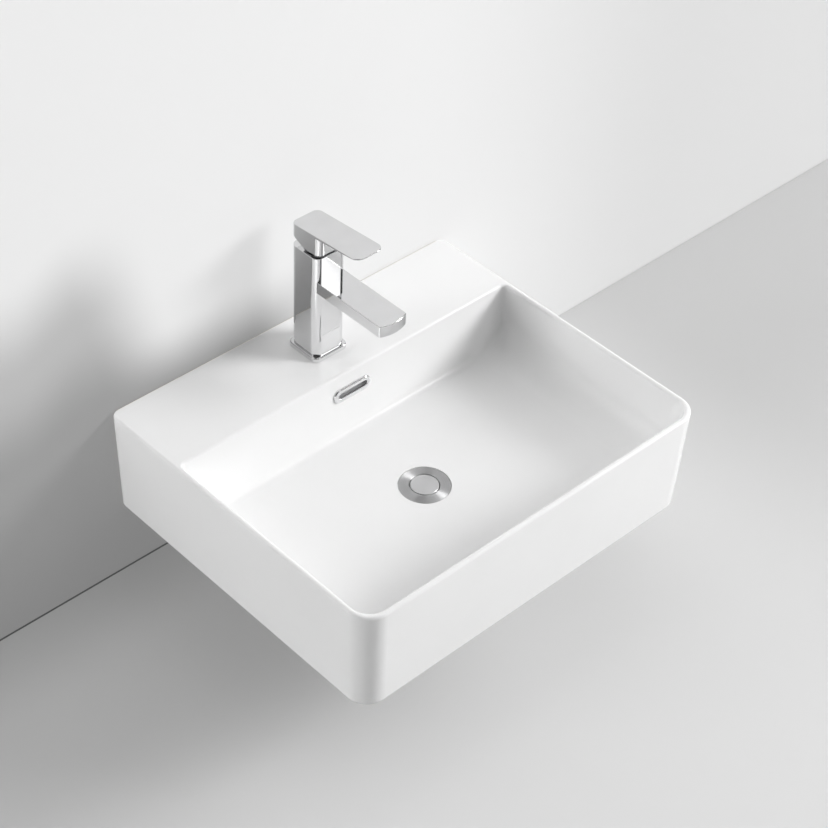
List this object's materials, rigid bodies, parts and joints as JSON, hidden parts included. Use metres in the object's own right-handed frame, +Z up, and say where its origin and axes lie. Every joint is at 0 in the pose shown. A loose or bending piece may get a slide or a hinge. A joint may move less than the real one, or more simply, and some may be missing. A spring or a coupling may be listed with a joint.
{
  "type": "washbasin",
  "caption": "Wall-hung rectangular ceramic washbasin with a tap ledge, a square lever mixer, an oblong overflow ring and a round push-to-open waste.",
  "frame": {"origin": "midway between the two wall holes, on the flat back of the basin that meets the wall", "axes": "+X along the wall, to the right of a person who faces the wall; +Y into the wall; +Z up. The bowl and the spout face -Y."},
  "size_m": [0.4998, 0.4199, 0.3557],
  "materials": {
    "white_glaze": "smooth white glaze",
    "chrome_plate": "polished chrome plate on brass and zinc castings",
    "brushed_chrome": "circular brushed, satin",
    "plain_steel": "plain bright steel",
    "raw_brass": "machined, unplated",
    "black_rubber": "matt moulded",
    "white_plastic": "moulded, matt",
    "grey_plastic": "moulded, matt",
    "disc_ceramic": "lapped, satin"
  },
  "bodies": {
    "basin": {"basin_body": "white_glaze", "overflow_ring": "chrome_plate", "waste_body": "brushed_chrome", "flange_gasket": "black_rubber", "cone_gasket": "black_rubber", "slip_washer": "white_plastic", "waste_nut": "raw_brass", "click_spring": "plain_steel", "click_barrel": "white_plastic", "mixer_body": "chrome_plate", "base_plate": "chrome_plate", "base_seal": "black_rubber", "fixing_stud": "raw_brass", "horseshoe_gasket": "black_rubber", "horseshoe_washer": "plain_steel", "fixing_nut": "raw_brass", "port_seals": "black_rubber", "cartridge_base": "white_plastic", "fixed_disc": "disc_ceramic", "cartridge_housing": "white_plastic", "cartridge_nut": "raw_brass", "dome_cover": "chrome_plate", "aerator_housing": "chrome_plate", "aerator_core": "white_plastic", "aerator_seal": "black_rubber"},
    "plug": {"waste_plug": "brushed_chrome", "plug_seal": "black_rubber", "click_stem": "plain_steel", "click_rotor": "white_plastic"},
    "turret": {"turret": "grey_plastic", "stem_pin": "plain_steel"},
    "lever": {"lever": "chrome_plate", "cartridge_stem": "plain_steel", "lever_screw": "plain_steel", "screw_cap": "grey_plastic"},
    "disc": {"moving_disc": "disc_ceramic", "disc_carrier": "white_plastic"}
  },
  "joints": [
    {"name": "plug_slide", "type": "slide", "parent": "basin", "child": "plug", "axis": [0, 0, 1], "range_m": [0, 0.009], "deforming": ["click_spring"]},
    {"name": "lever_swivel", "type": "hinge", "parent": "basin", "child": "turret", "pos_m": [0, -0.0587, 0.2018], "axis": [0, 0, 1], "range_deg": [-45, 45]},
    {"name": "lever_lift", "type": "hinge", "parent": "turret", "child": "lever", "pos_m": [0, -0.0587, 0.2018], "axis": [-1, 0, 0], "range_deg": [0, 25]},
    {"name": "disc_slide", "type": "slide", "parent": "turret", "child": "disc", "axis": [0, -1, 0], "range_m": [0, 0.0045]}
  ],
  "couplings": [
    {"joint": "disc_slide", "follows": "lever_lift", "m_per_rad": 0.0098}
  ]
}
